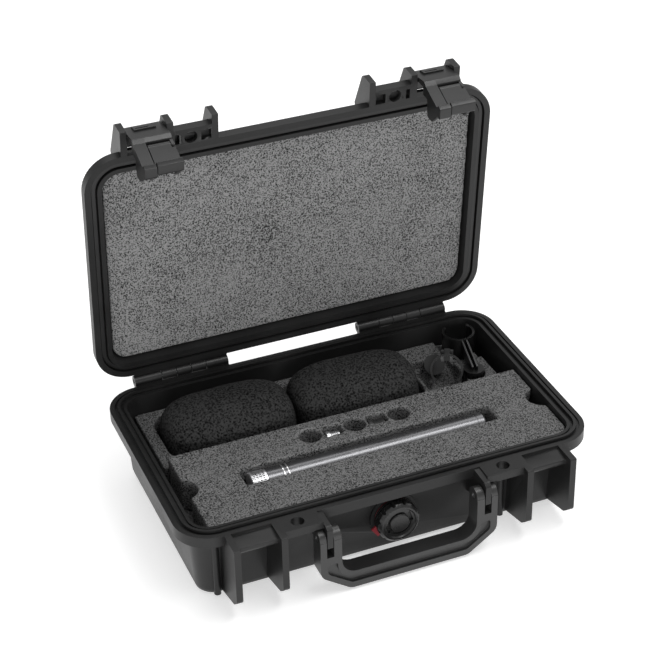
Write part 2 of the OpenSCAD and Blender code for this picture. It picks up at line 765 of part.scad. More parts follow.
// The microphone's slot: a trough along X with a round bottom, open at the top
module trough(x, y, z, l, d) {
    x_rod(x - l / 2 + 0.6, y, z, d, l - 1.2);
    translate([x, y, z]) linear_extrude(40) round_rect(l, d, d * 0.32);
}

// ---- contents ----------------------------------------------------------------------------

module windscreen(x) {
    r = screen_d / 2;
    l = screen_l;
    color("#161616") translate([x - l / 2, screen_y, screen_z]) rotate([0, 90, 0])
        rotate_extrude() polygon(concat([[0, 0]],
            arc([r - 13, 13], 13, -90, 0), arc([r - 20, l - 20], 20, 0, 90), [[0, l]]));
}

module at_mic() {
    translate([mic_x - mic_l / 2, mic_y, mic_z]) rotate([0, 90, 0]) children();
}

module mic_grille() {
    r = mic_d / 2;
    color("silver") at_mic() rotate_extrude() polygon(concat(
        [[0, 0]], arc([r - 2, 2], 1.8, -90, 0),
        [[r - 0.2, grille_l - 1.4], [r, grille_l - 1], [r, grille_l], [0, grille_l]]));
}

module mic_rings() {
    color("gainsboro") at_mic() {
        for (z = [ring_at, ring_at + ring_pitch]) translate([0, 0, z]) difference() {
            cylinder(d = mic_d + 0.4, h = ring_w);
            translate([0, 0, -1]) cylinder(d = mic_d - 1.6, h = 4);
        }
    }
}

module mic_body() {
    color("#202020") at_mic() difference() {
        translate([0, 0, grille_l]) cylinder(d = mic_d, h = mic_l - grille_l);
        for (z = [ring_at, ring_at + ring_pitch]) translate([0, 0, z]) difference() {
            cylinder(d = mic_d + 2, h = ring_w);
            translate([0, 0, -1]) cylinder(d = mic_d - 1.6, h = 4);
        }
        translate([0, 0, mic_l - socket_deep]) cylinder(d = mic_d - 3, h = 20);
    }
}

module mic_connector() {
    color("#101010") at_mic() {
        translate([0, 0, mic_l - socket_deep]) cylinder(d = mic_d - 3, h = 2);
        for (a = [90, 210, 330]) rotate([0, 0, a]) translate([4.2, 0, mic_l - socket_deep + 1.5])
            cylinder(d = 2.4, h = 10, $fn = 24);
    }
}

clip_front_at = [inner_w - 38.3, tray_back + 24.5, base_h - 9.3];   // middle of the front ring
clip_front_floor = clip_front_at[2] - 13.3;    // floor of the pocket under it
clip_rear_at = [inner_w - 14.5, tray_back + 55];    // middle of the ring of the rear clip
clip_rear_nut = [inner_w - 18.7, tray_back + 20];   // stand socket of the rear clip
rear_low = base_h - clip_rear_h;               // underside of the rear ring
nut_low = base_h - 30;                         // underside of the rear stand socket

// A split ring that snaps over the microphone, its axis along Z, open towards -Y
module clip_ring(h) {
    r = clip_d / 2 + 1;
    difference() {
        cylinder(r = r, h = h);
        translate([0, 0, -1]) cylinder(r = r - clip_ring_t, h = h + 2);
        translate([-r * 0.68, -2 * r, -1]) cube([r * 1.36, 1.45 * r, h + 2]);
        // shallow groove round each face of the band
        for (z = [-0.6, h - 0.4]) translate([0, 0, z]) difference() {
            cylinder(r = r - 0.5, h = 1);
            translate([0, 0, -1]) cylinder(r = r - clip_ring_t + 0.5, h = 3);
        }
    }
    // lips that guide the microphone in
    for (s = [-1, 1]) translate([s * r * 0.73, -r * 0.56, 0]) cylinder(r = 1.2, h = h, $fn = 24);
}

// Ribbed socket with the stand thread bored up into it from below
module clip_nut(h) {
    difference() {
        cylinder(d = nut_d, h = h);
        translate([0, 0, -1]) cylinder(d = nut_d - 5.5, h = 11);
        for (a = [0:24:336]) rotate([0, 0, a]) translate([nut_d / 2 + 0.7, 0, -1])
            cylinder(r = 1.2, h = h - 1, $fn = 16);
    }
}

module at_clip_front() {
    translate(clip_front_at) rotate([56, 0, -26]) children();
}

module clip_front_ring() {
    color("#1b1b1b") at_clip_front() {
        translate([0, 0, -clip_front_h / 2]) clip_ring(clip_front_h);
        // lug at the back of the ring, held between the ears of the socket
        translate([-2, clip_d / 2 + 0.4, -clip_front_h / 2]) cube([4, 4.4, 4.4]);
    }
}

// The stand socket of the front clip is folded back behind the ring
module clip_front_socket() {
    color("#222222") at_clip_front() {
        low = -clip_front_h / 2;
        translate([-9, 4, low - 13]) clip_nut(11);
        for (s = [-1, 1]) side_plate(s * 3.3 - 1.2, 2.4, rounded([
            [6, low - 3.2, 0], [6, low - 0.6, 0.5], [clip_d / 2 + 1.3, low - 0.4, 0],
            [clip_d / 2 + 1.3, low + 3.4, 0], [clip_d / 2 + 4.6, low + 3.4, 1.2],
            [clip_d / 2 + 3, low - 3.2, 1]]));
        translate([-3, 6.6, low - 3]) cube([6, 4, 1.8]);
    }
}

module clip_rear_ring() {
    color("#222222") translate([clip_rear_at[0], clip_rear_at[1], rear_low]) rotate([0, 0, 170])
        clip_ring(clip_rear_h);
}

module clip_rear_socket() {
    turn = -8.5;
    top = rear_low + clip_rear_h;
    color("#1b1b1b") difference() {
        translate([clip_rear_nut[0], clip_rear_nut[1], 0]) {
            translate([0, 0, nut_low]) clip_nut(20);
            // two ears that lean back to the ring, on one web
            rotate([0, 0, turn]) for (s = [-1, 1]) side_plate(s * 1.7 - 0.6, 1.2, rounded([
                [-3, top - 11, 0], [-3, top - 6.5, 1.5], [25, top, 0], [25, top - 11, 0]]));
            rotate([0, 0, turn]) translate([-2.3, 3, top - 12]) cube([4.6, 22, 3]);
        }
        translate([clip_rear_at[0], clip_rear_at[1], rear_low - 10])
            cylinder(d = clip_d + 2 * (1 + fit), h = 40);
    }
}

// A thread adapter l long, lying along X about its middle, with a flange at its left end
module adapter(d, l) {
    translate([-l / 2, 0, 0]) rotate([0, 90, 0]) difference() {
        union() {
            cylinder(d = d, h = l);
            cylinder(d = d + 1.6, h = 3);
        }
        translate([0, 0, -1]) cylinder(d = d - 3, h = l + 2);
    }
}

module adapter_silver() {
    color("silver") translate([finger_x - finger_hole_pitch / 2, finger_y, adapter_z])
        adapter(adapter_d, 10);
}

module adapter_black() {
    color("#1a1a1a") translate([finger_x + finger_hole_pitch / 2, finger_y, adapter_z])
        adapter(adapter_d, 12);
}

// ---- assembly ----------------------------------------------------------------------------

base_shell();
base_floor();
base_plates();
lid_shell();
lid_top();
lid_plates();
lid_gasket();
lid_pad();
hinge_pins();
latch_pins();
color("#3a3a3a") at_latch(-1) latch_body();  // latch_body_left
color("#3a3a3a") at_latch(1) latch_body();  // latch_body_right
color("#444444") at_latch(-1) latch_lever();  // latch_lever_left
color("#444444") at_latch(1) latch_lever();  // latch_lever_right
lever_pin(-1);  // lever_pin_left
lever_pin(1);  // lever_pin_right
handle();
handle_pins();
valve_body();
valve_seal();
valve_knob();
foam_base();
foam_tray();
windscreen(screen_xs[0]);  // windscreen_left
windscreen(screen_xs[1]);  // windscreen_right
mic_body();
mic_grille();
mic_rings();
mic_connector();
clip_front_ring();
clip_front_socket();
clip_rear_ring();
clip_rear_socket();
adapter_silver();
adapter_black();
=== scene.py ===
# %% [markdown]
# # A hard carrying case for a pencil microphone
#
# The case is a moulded box with a hinged lid, two draw latches, a folding handle and a purge
# valve. Inside, cut foam holds the microphone, two windscreens, two clips and two thread adapters.
# The hard parts come from CAD with their real sizes. This script gives every surface its look: it
# rounds the moulded edges, makes the foam out of slightly rough geometry, and builds a procedural
# material for each finish.

import json
import math

import bmesh
import bpy
import numpy as np
from mathutils import Matrix, Vector, noise

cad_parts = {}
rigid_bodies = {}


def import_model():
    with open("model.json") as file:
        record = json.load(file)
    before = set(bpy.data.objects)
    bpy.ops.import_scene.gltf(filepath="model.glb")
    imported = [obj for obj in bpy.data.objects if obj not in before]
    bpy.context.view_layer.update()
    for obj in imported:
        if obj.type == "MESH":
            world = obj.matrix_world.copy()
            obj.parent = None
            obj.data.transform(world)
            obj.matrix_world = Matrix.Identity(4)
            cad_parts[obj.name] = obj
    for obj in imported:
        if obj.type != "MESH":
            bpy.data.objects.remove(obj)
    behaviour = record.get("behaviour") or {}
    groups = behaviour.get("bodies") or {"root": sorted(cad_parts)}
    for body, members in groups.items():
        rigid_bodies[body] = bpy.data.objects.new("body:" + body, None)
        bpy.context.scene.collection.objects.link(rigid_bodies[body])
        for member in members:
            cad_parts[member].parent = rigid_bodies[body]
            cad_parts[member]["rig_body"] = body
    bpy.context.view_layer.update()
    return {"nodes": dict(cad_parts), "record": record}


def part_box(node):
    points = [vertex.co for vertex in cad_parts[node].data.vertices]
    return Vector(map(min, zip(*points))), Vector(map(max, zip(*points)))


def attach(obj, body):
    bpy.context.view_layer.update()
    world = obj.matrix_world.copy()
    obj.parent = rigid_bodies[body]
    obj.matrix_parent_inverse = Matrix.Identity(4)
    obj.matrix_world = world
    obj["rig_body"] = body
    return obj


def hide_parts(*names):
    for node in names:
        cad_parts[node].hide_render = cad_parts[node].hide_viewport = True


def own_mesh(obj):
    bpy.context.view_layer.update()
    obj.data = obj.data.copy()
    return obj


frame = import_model()
nodes = frame["nodes"]
scene = bpy.context.scene
MM = 0.001  # one millimetre in Blender's metres
print("CAD nodes:", len(nodes))

# %% [markdown]
# ## Camera
#
# The photograph was taken from the front left and from above, with a long lens. The camera's
# place and turn were worked out from the corners of the rim, whose shape is known, so they are
# plain numbers here. The lens shift is tiny: the photograph is almost uncropped.

# %% Place the camera
IMAGE_SIDE = 665
FOCAL_PIXELS = 1890.3
SENSOR_MM = 36.0
camera_data = bpy.data.cameras.new("camera")
camera_data.sensor_width = SENSOR_MM
camera_data.lens = FOCAL_PIXELS / IMAGE_SIDE * SENSOR_MM
camera_data.shift_x = -2.95 / IMAGE_SIDE
camera_data.shift_y = -1.39 / IMAGE_SIDE
camera_data.clip_start = 0.05
camera_data.clip_end = 20
camera = bpy.data.objects.new("camera", camera_data)
camera.location = (-0.406412, -0.988939, 0.814458)
camera.rotation_euler = [math.radians(a) for a in (57.2484, 0.9671, -22.6855)]
scene.collection.objects.link(camera)
scene.camera = camera
print("lens", round(camera_data.lens, 1), "mm")

# %% [markdown]
# ## Floor and light
#
# The object stands on a bright white sweep, which glows a little, as a lit backdrop does. A low
# softbox at the front gives the microphone its long highlight and lights the upright foam. A
# narrow strip overhead draws a bright line along the edges of the latches and the rims. Weaker
# boxes behind and at the right, and a soft white world, fill the rest.

# %% Floor, lamps and world
def plain_material(name, colour, roughness):
    """A material of one colour, for the floor and for the painted shade inside the microphone's grille.
    """
    m = bpy.data.materials.new(name)
    m.use_nodes = True
    shader = m.node_tree.nodes["Principled BSDF"]
    shader.inputs["Base Color"].default_value = (*colour, 1)
    shader.inputs["Roughness"].default_value = roughness
    return m


floor_mesh = bpy.data.meshes.new("floor")
floor_mesh.from_pydata([(-6, -6, 0), (6, -6, 0), (6, 6, 0), (-6, 6, 0)], [], [(0, 1, 2, 3)])
floor = bpy.data.objects.new("floor", floor_mesh)
floor_white = plain_material("floor_white", (0.75, 0.75, 0.75), 0.4)
floor_glow = floor_white.node_tree.nodes["Principled BSDF"].inputs
floor_glow["Emission Color"].default_value = (1, 1, 1, 1)
floor_glow["Emission Strength"].default_value = 0.50
floor_mesh.materials.append(floor_white)
scene.collection.objects.link(floor)


def softbox(name, place, aim, size, power):
    """A square area lamp at place, turned to face aim."""
    data = bpy.data.lights.new(name, "AREA")
    data.shape = "RECTANGLE"
    data.size, data.size_y = size
    data.energy = power
    lamp = bpy.data.objects.new(name, data)
    lamp.location = place
    lamp.rotation_euler = (Vector(aim) - Vector(place)).to_track_quat("-Z", "Y").to_euler()
    scene.collection.objects.link(lamp)
    return lamp


CASE_MIDDLE = (0, 0, 0.09)
softbox("front_softbox", (-0.7, -2.3, 0.32), CASE_MIDDLE, (1.5, 0.5), 34)
softbox("overhead_strip", (0.42, -0.45, 1.5), CASE_MIDDLE, (1.1, 0.35), 9)
softbox("back_softbox", (0.2, 1.0, 1.9), CASE_MIDDLE, (2.0, 1.0), 12)
softbox("right_softbox", (1.9, -0.3, 0.8), CASE_MIDDLE, (0.8, 1.2), 6)
world = bpy.data.worlds.new("studio")
world.use_nodes = True
world.node_tree.nodes["Background"].inputs["Color"].default_value = (1, 1, 1, 1)
world.node_tree.nodes["Background"].inputs["Strength"].default_value = 0.55
scene.world = world
scene.view_settings.view_transform = "Standard"

# %% [markdown]
# ## Shared effects
#
# Two effects are used by several materials, so each is a node group, built once. `moulded_grain`
# is the fine, even texture that a spark-eroded mould leaves on polypropylene. `foam_cells` is
# the pattern of pores of open-cell foam. Both only put out values: the shader stays in each
# material, where its own numbers can be set.

# %% Node group helpers
def new_group(name, inputs, outputs):
    """An empty shader node group with float inputs {name: default} and outputs {name: type}."""
    group = bpy.data.node_groups.new(name, "ShaderNodeTree")
    for label, value in inputs.items():
        s = group.interface.new_socket(label, in_out="INPUT", socket_type="NodeSocketFloat")
        s.default_value = value
    for label, kind in outputs.items():
        group.interface.new_socket(label, in_out="OUTPUT", socket_type=kind)
    return group, group.nodes.new("NodeGroupInput"), group.nodes.new("NodeGroupOutput")


def add(tree, kind, values=None, **settings):
    """A node of one kind with its settings and its unlinked input values."""
    n = tree.nodes.new(kind)
    for key, value in settings.items():
        setattr(n, key, value)
    for key, value in (values or {}).items():
        n.inputs[key].default_value = value
    return n


def math_node(tree, operation, a, b=None):
    """a operation b, where each is a socket or a number."""
    n = tree.nodes.new("ShaderNodeMath")
    n.operation = operation
    for i, v in enumerate((a, b)):
        if v is None:
            continue
        if isinstance(v, (int, float)):
            n.inputs[i].default_value = v
        else:
            tree.links.new(v, n.inputs[i])
    return n.outputs[0]


# %% Moulded grain
grain_group, g_in, g_out = new_group(
    "moulded_grain",
    {"Grain per Metre": 1400.0, "Blotch per Metre": 22.0},
    {"Height": "NodeSocketFloat", "Blotch": "NodeSocketFloat"},
)
place = add(grain_group, "ShaderNodeTexCoord").outputs["Object"]
fine = add(grain_group, "ShaderNodeTexNoise", {"Detail": 3.0, "Roughness": 0.6})
blotch = add(grain_group, "ShaderNodeTexNoise", {"Detail": 4.0, "Roughness": 0.55})
for tex, label in ((fine, "Grain per Metre"), (blotch, "Blotch per Metre")):
    grain_group.links.new(place, tex.inputs["Vector"])
    grain_group.links.new(g_in.outputs[label], tex.inputs["Scale"])
grain_group.links.new(fine.outputs["Fac"], g_out.inputs["Height"])
grain_group.links.new(blotch.outputs["Fac"], g_out.inputs["Blotch"])

# %% Foam cells
cells_group, c_in, c_out = new_group(
    "foam_cells",
    {"Cells per Metre": 800.0, "Unevenness per Metre": 30.0},
    {"Pore": "NodeSocketFloat", "Fleck": "NodeSocketFloat", "Cloud": "NodeSocketFloat"},
)
place = add(cells_group, "ShaderNodeTexCoord").outputs["Object"]
pores = add(cells_group, "ShaderNodeTexVoronoi", {"Randomness": 1.0})
fleck = add(cells_group, "ShaderNodeTexNoise", {"Detail": 2.0, "Roughness": 0.7})
cloud = add(cells_group, "ShaderNodeTexNoise", {"Detail": 3.0, "Roughness": 0.5})
for tex in (pores, fleck, cloud):
    cells_group.links.new(place, tex.inputs["Vector"])
cells_group.links.new(c_in.outputs["Cells per Metre"], pores.inputs["Scale"])
cells_group.links.new(c_in.outputs["Cells per Metre"], fleck.inputs["Scale"])
cells_group.links.new(c_in.outputs["Unevenness per Metre"], cloud.inputs["Scale"])
cells_group.links.new(pores.outputs["Distance"], c_out.inputs["Pore"])
cells_group.links.new(fleck.outputs["Fac"], c_out.inputs["Fleck"])
cells_group.links.new(cloud.outputs["Fac"], c_out.inputs["Cloud"])
print("node groups:", [g.name for g in bpy.data.node_groups])

# %% [markdown]
# ## Materials
#
# The shells, latches and handle are the same black polypropylene: dark, half matt, with a fine
# The colour varies a little over each moulding, as on the real thing. Foam is lighter,
# fully matt, and speckled with random flecks and with painted shade in its pores.

# %% Plastic material
BLOTCH_LOW, BLOTCH_HIGH = 0.3, 0.7  # between these the noise of the blotches has most of its values


def ramp(tree, factor, stops):
    """A colour ramp on factor; stops are (position, grey or colour)."""
    n = tree.nodes.new("ShaderNodeValToRGB")
    tree.links.new(factor, n.inputs["Fac"])
    elements = n.color_ramp.elements
    while len(elements) < len(stops):
        elements.new(0.5)
    for e, (at, colour) in zip(elements, stops):
        e.position = at
        e.color = (colour, colour, colour, 1) if isinstance(colour, float) else (*colour, 1)
    return n.outputs["Color"]


def group_node(tree, group, values):
    """The group placed in the tree, with its own input values."""
    n = tree.nodes.new("ShaderNodeGroup")
    n.node_tree = group
    for key, value in values.items():
        n.inputs[key].default_value = value
    return n


def drifting_roughness(tree, blotch, shader, smooth, dull):
    """Lets the shader's roughness drift from smooth to dull over the slow blotches."""
    drift = add(tree, "ShaderNodeMapRange",
                {"From Min": BLOTCH_LOW, "From Max": BLOTCH_HIGH, "To Min": smooth, "To Max": dull})
    tree.links.new(blotch, drift.inputs["Value"])
    tree.links.new(drift.outputs["Result"], shader.inputs["Roughness"])


def moulded(name, dark, light, rough, grain=1400.0, depth=0.03, specular=0.5):
    """Moulded plastic: colour and roughness drift slowly, and a fine grain breaks the shine."""
    m = bpy.data.materials.new(name)
    m.use_nodes = True
    t = m.node_tree
    shader = t.nodes["Principled BSDF"]
    g = group_node(t, grain_group, {"Grain per Metre": grain})
    colour = ramp(t, g.outputs["Blotch"], [(BLOTCH_LOW, dark), (BLOTCH_HIGH, light)])
    t.links.new(colour, shader.inputs["Base Color"])
    drifting_roughness(t, g.outputs["Blotch"], shader, *rough)
    bump = add(t, "ShaderNodeBump", {"Strength": 1.0, "Distance": depth * MM})
    t.links.new(g.outputs["Height"], bump.inputs["Height"])
    t.links.new(bump.outputs["Normal"], shader.inputs["Normal"])
    shader.inputs["Specular IOR Level"].default_value = specular
    return m


shell_plastic = moulded("case_plastic", 0.007, 0.011, (0.34, 0.46), specular=0.32)
latch_plastic = moulded("latch_plastic", 0.008, 0.012, (0.26, 0.36), grain=1800.0, depth=0.02,
                        specular=0.42)
handle_plastic = moulded("handle_plastic", 0.014, 0.021, (0.30, 0.42), grain=1600.0, depth=0.02)
valve_plastic = moulded("valve_plastic", 0.006, 0.009, (0.24, 0.34), grain=2000.0, depth=0.01)
clip_plastic = moulded("clip_plastic", 0.003, 0.005, (0.26, 0.36), grain=1800.0, depth=0.02)
gasket_rubber = moulded("gasket_rubber", 0.005, 0.007, (0.40, 0.50), grain=900.0, depth=0.02)
seal_rubber = moulded("red_seal_rubber", (0.14, 0.008, 0.014), (0.20, 0.012, 0.02), (0.42, 0.55))


# %% Foam material
FOAM_MIX = {"Fleck": 0.75, "Pore": 0.35, "Cloud": 0.12}  # how much each pattern counts
SHADED_PIT, WALL = 0.47, 0.68  # the mixed pattern's value where the painted shade at the bottom of a pit is darkest, and on top of a wall


def foam(name, dark, light, cells, pore_depth):
    """Open-cell foam: random flecks of tone, and painted shade that darkens each pore's pit between
    lighter walls.
    """
    m = bpy.data.materials.new(name)
    m.use_nodes = True
    t = m.node_tree
    shader = t.nodes["Principled BSDF"]
    g = group_node(t, cells_group, {"Cells per Metre": cells})
    fleck, pore, cloud = [math_node(t, "MULTIPLY", g.outputs[label], share)
                          for label, share in FOAM_MIX.items()]
    speck = math_node(t, "ADD", fleck, pore)
    mixed = math_node(t, "ADD", speck, cloud)
    # The ramp paints shade into the pores: dark at the bottom of a pit, the foam's own grey on the walls
    t.links.new(ramp(t, mixed, [(SHADED_PIT, dark), (WALL, light)]), shader.inputs["Base Color"])
    shader.inputs["Roughness"].default_value = 0.95
    shader.inputs["Specular IOR Level"].default_value = 0.15
    bump = add(t, "ShaderNodeBump", {"Strength": 0.7, "Distance": pore_depth * MM})
    t.links.new(speck, bump.inputs["Height"])
    t.links.new(bump.outputs["Normal"], shader.inputs["Normal"])
    return m


lid_foam = foam("lid_foam", 0.006, 0.195, 900.0, 0.7)
tray_foam = foam("tray_foam", 0.006, 0.175, 900.0, 0.7)
base_foam = foam("base_foam", 0.006, 0.14, 900.0, 0.6)
screen_foam = foam("windscreen_foam", 0.0004, 0.032, 650.0, 1.1)


# %% Metal materials
def metal(name, colour, rough, metallic=1.0):
    """Turned metal, or with a lower metallic value paint on it, with a slow drift in its shine."""
    m = bpy.data.materials.new(name)
    m.use_nodes = True
    t = m.node_tree
    shader = t.nodes["Principled BSDF"]
    g = group_node(t, grain_group, {"Grain per Metre": 2500.0, "Blotch per Metre": 60.0})
    dull = tuple(c * 0.86 for c in colour)
    tone = ramp(t, g.outputs["Blotch"], [(BLOTCH_LOW, dull), (BLOTCH_HIGH, colour)])
    t.links.new(tone, shader.inputs["Base Color"])
    drifting_roughness(t, g.outputs["Blotch"], shader, *rough)
    shader.inputs["Metallic"].default_value = metallic
    return m


steel = metal("pin_steel", (0.62, 0.62, 0.63), (0.22, 0.34))
grille_steel = metal("grille_steel", (0.72, 0.72, 0.73), (0.24, 0.36))
ring_steel = metal("ring_steel", (0.85, 0.85, 0.86), (0.08, 0.16))
silver_metal = metal("adapter_silver", (0.78, 0.78, 0.79), (0.18, 0.28))
mic_black = metal("mic_black", (0.14, 0.14, 0.145), (0.24, 0.30), metallic=0.9)
black_metal = metal("adapter_black", (0.03, 0.03, 0.03), (0.28, 0.36), metallic=0.0)
connector_black = metal("connector_black", (0.012, 0.012, 0.012), (0.45, 0.55), metallic=0.0)


# %% Give each CAD node its finish
def dress(node, material):
    """Gives a CAD node one material."""
    mesh = nodes[node].data
    mesh.materials.clear()
    mesh.materials.append(material)


WEARS = [
    (shell_plastic, ["base_shell", "base_floor", "base_plates", "lid_shell", "lid_top", "lid_plates"]),
    (latch_plastic, ["latch_body_left", "latch_body_right", "latch_lever_left", "latch_lever_right"]),
    (handle_plastic, ["handle"]),
    (valve_plastic, ["valve_body", "valve_knob"]),
    (clip_plastic, ["clip_front_ring", "clip_front_socket", "clip_rear_ring", "clip_rear_socket"]),
    (gasket_rubber, ["lid_gasket"]),
    (seal_rubber, ["valve_seal"]),
    (lid_foam, ["lid_pad"]),
    (tray_foam, ["foam_tray"]),
    (base_foam, ["foam_base"]),
    (screen_foam, ["windscreen_left", "windscreen_right"]),
    (steel, ["hinge_pins", "latch_pins", "lever_pin_left", "lever_pin_right", "handle_pins"]),
    (mic_black, ["mic_body"]),
    (grille_steel, ["mic_grille"]),
    (ring_steel, ["mic_rings"]),
    (connector_black, ["mic_connector"]),
    (silver_metal, ["adapter_silver"]),
    (black_metal, ["adapter_black"]),
]
FINISH = {node: material for material, wearers in WEARS for node in wearers}
for node, material in FINISH.items():
    dress(node, material)
print("finished nodes:", len(FINISH), "of", len(nodes))

# %% [markdown]
# ## Rounded mouldings
#
# A moulded edge is never sharp: it has a radius of about half a millimetre, and that radius is
# what catches the light. The CAD solids have sharp edges, so each hard part is copied, its
# triangles are merged back into flat faces, and a Bevel modifier rounds every real edge. The CAD
# model cuts each shell into walls, floor and drilled plates, so here they are one moulding. Narrow
# webs close the slits beside the latches and behind the knuckles of the hinges, as on the real
# case, where no light shows through. A small boss backs each of the lid's padlock plates, so its
# hole looks dark from the front.

# %% Rounded copies of the moulded parts
SAME_POINT = 0.002 * MM  # points nearer to each other than this are one
SAME_FACE = math.radians(0.6)  # triangles that turn less than this are one face


def cleaned(mesh, join_faces):
    """Joins the mesh's doubled points and, if asked, its triangles into flat faces."""
    bm = bmesh.new()
    bm.from_mesh(mesh)
    bmesh.ops.remove_doubles(bm, verts=bm.verts, dist=SAME_POINT)
    if join_faces:
        bmesh.ops.dissolve_limit(bm, angle_limit=SAME_FACE, verts=bm.verts, edges=bm.edges,
                                 delimit={"NORMAL"})
    bm.to_mesh(mesh)
    bm.free()


def linked(name, mesh):
    """A new object with this mesh, in the scene."""
    o = bpy.data.objects.new(name, mesh)
    scene.collection.objects.link(o)
    return o


def merged_copy(node, name, join_faces=True):
    """A copy of a CAD node whose loose triangles are joined."""
    mesh = nodes[node].data.copy()
    mesh.name = name
    cleaned(mesh, join_faces)
    return linked(name, mesh)


def smooth_shaded(mesh, sharp=30):
    """Smooth shading, with edges that turn more than sharp degrees kept crisp."""
    mesh.shade_smooth()
    mesh.set_sharp_from_angle(angle=math.radians(sharp))


def stands_for(o, node, *others):
    """o moves with the node's body and is shown in its place, while the node is hidden."""
    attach(o, nodes[node]["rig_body"])
    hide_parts(node, *others)
    return o


def evaluated_mesh(o):
    """The mesh of o with its modifiers applied, as a new mesh."""
    return bpy.data.meshes.new_from_object(o.evaluated_get(bpy.context.evaluated_depsgraph_get()))


def combined(o, tool, operation):
    """Adds the tool to o, or cuts it out of o, and deletes the tool."""
    b = o.modifiers.new("combine", "BOOLEAN")
    b.object, b.operation, b.solver = tool, operation, "EXACT"
    mesh = evaluated_mesh(o)
    o.modifiers.clear()
    o.data = mesh
    bpy.data.objects.remove(tool)
    return o


# A box's faces, where its corners come in the order of three nested loops over x, y and z
BOX_FACES = [(0, 1, 3, 2), (4, 6, 7, 5), (0, 4, 5, 1), (2, 3, 7, 6), (0, 2, 6, 4), (1, 5, 7, 3)]


def block(name, low, high, place=Matrix()):
    """A box between two corners, given in millimetres, moved by the matrix place."""
    corners = [place @ (Vector((x, y, z)) * MM) for x in (low[0], high[0])
               for y in (low[1], high[1]) for z in (low[2], high[2])]
    return closed_body(name, corners, BOX_FACES)


def closed_body(name, vertices, faces):
    """A new object from points in metres and faces, with every face turned outward."""
    mesh = bpy.data.meshes.new(name)
    mesh.from_pydata([tuple(v) for v in vertices], [], faces)
    bm = bmesh.new()
    bm.from_mesh(mesh)
    bmesh.ops.recalc_face_normals(bm, faces=bm.faces)
    bm.to_mesh(mesh)
    bm.free()
    mesh.update()
    return linked(name, mesh)


def rounded_moulding(node, radius, segments=2, others=(), webs=()):
    """Replaces a CAD node, and others fused to it, by a copy with rounded edges."""
    o = merged_copy(node, node + "_moulding", join_faces=not others)
    tools = [merged_copy(other, other + "_tool", join_faces=False) for other in others]
    for tool in tools + list(webs):
        combined(o, tool, "UNION")
    if others:
        cleaned(o.data, join_faces=True)
    bevel = o.modifiers.new("round", "BEVEL")
    bevel.width = radius * MM
    bevel.segments = segments
    bevel.limit_method = "ANGLE"
    bevel.angle_limit = math.radians(32)
    bevel.use_clamp_overlap = True
    bevel.harden_normals = True
    smooth_shaded(o.data)
    print(o.name, len(o.data.polygons), "faces")
    return stands_for(o, node, *others)


# The lid's blocks are given with the lid shut, in heights above the parting plane, then turned open
hinge = next(j for j in frame["record"]["behaviour"]["joints"] if j["name"] == "lid_hinge")
axis = Vector(hinge["pos_m"])
PARTING = 58.0  # the height at which the base and the lid meet
opened = (Matrix.Translation(axis) @ Matrix.Rotation(math.radians(hinge["range_deg"][0]), 4, "X")
          @ Matrix.Translation((0, -axis.y, PARTING * MM - axis.z)))
RIM_FRONT, RIM_BACK = -91.5, 91.5  # the outer faces of both rims
LATCH_WEB_X, HINGE_WEB_X, BOSS_X = (89, 118), (51.3, 121.3), (67, 80)  # each side of the middle
LATCH_WEB_FRONT, BOSS_FRONT, HINGE_WEB_BACK = RIM_FRONT - 4.2, RIM_FRONT - 5, RIM_BACK + 1.7
INTO_FRONT, INTO_BACK = RIM_FRONT + 1, RIM_BACK - 1  # the blocks reach 1 mm into the walls


def on_side(side, inner_outer):
    """Lowest and highest x of a block that lies between two distances from the middle."""
    return sorted(side * x for x in inner_outer)


lid_webs, base_webs = [], []
for side in (-1, 1):
    low, high = on_side(side, LATCH_WEB_X)
    lid_webs.append(block("latch_web", (low, LATCH_WEB_FRONT, 0.05), (high, INTO_FRONT, 3.4), opened))
    low, high = on_side(side, HINGE_WEB_X)
    lid_webs.append(block("hinge_web", (low, INTO_BACK, 0.6), (high, HINGE_WEB_BACK, 6.5), opened))
    base_webs.append(block("hinge_web", (low, INTO_BACK, PARTING - 7.5),
                           (high, HINGE_WEB_BACK, PARTING - 0.6)))
    low, high = on_side(side, BOSS_X)
    lid_webs.append(block("padlock_boss", (low, BOSS_FRONT, 5.2), (high, INTO_FRONT, 11.4), opened))
rounded_moulding("base_shell", 0.5, others=["base_floor", "base_plates"], webs=base_webs)
rounded_moulding("lid_shell", 0.5, others=["lid_top", "lid_plates"], webs=lid_webs)

ROUNDED = {  # the radius of each piece's edges, in millimetres
    "handle": 0.8, "latch_body_left": 0.6, "latch_body_right": 0.6, "latch_lever_left": 0.6,
    "latch_lever_right": 0.6, "valve_knob": 0.3, "lid_gasket": 0.7, "clip_front_ring": 0.25,
    "clip_front_socket": 0.25, "clip_rear_ring": 0.25, "clip_rear_socket": 0.25,
}
for node, radius in ROUNDED.items():
    rounded_moulding(node, radius)
print("rounded:", len(ROUNDED))

# %% [markdown]
# ## Foam
#
# Cut foam has no sharp edge and no flat face. Each block is copied, remeshed into small even
# cells, softened a little, and then pushed in and out by two kinds of noise: a slow one for the
# uneven cut, and a fine one for the open cells. The dark pits are painted shade, in the material.
# The tray's slot is cut again here, because the microphone sinks deeper into soft foam than it lies
# on the rigid stand-in of the CAD model.

# %% Foam blocks
def vectors(collection, field):
    """One field of a mesh's points as an array with three numbers to a row."""
    values = np.zeros(len(collection) * 3, np.float32)
    collection.foreach_get(field, values)
    return values.reshape(-1, 3)


def push_out(mesh, amount):
    """Moves each vertex along its normal by its amount, in millimetres."""
    at = vectors(mesh.vertices, "co")
    normal = vectors(mesh.vertex_normals, "vector")
    moved = at + normal * (np.array(amount, np.float32) * MM)[:, None]
    mesh.vertices.foreach_set("co", moved.ravel())
    mesh.update()


MIC_SINK = 7.6  # how far the microphone sinks into the soft foam below its place in the CAD model
SLOT_HALF = 9.0  # half the width of its slot
SLOT_PAST = (4.5, 8.0)  # how far the slot runs past the microphone's nose and past its end


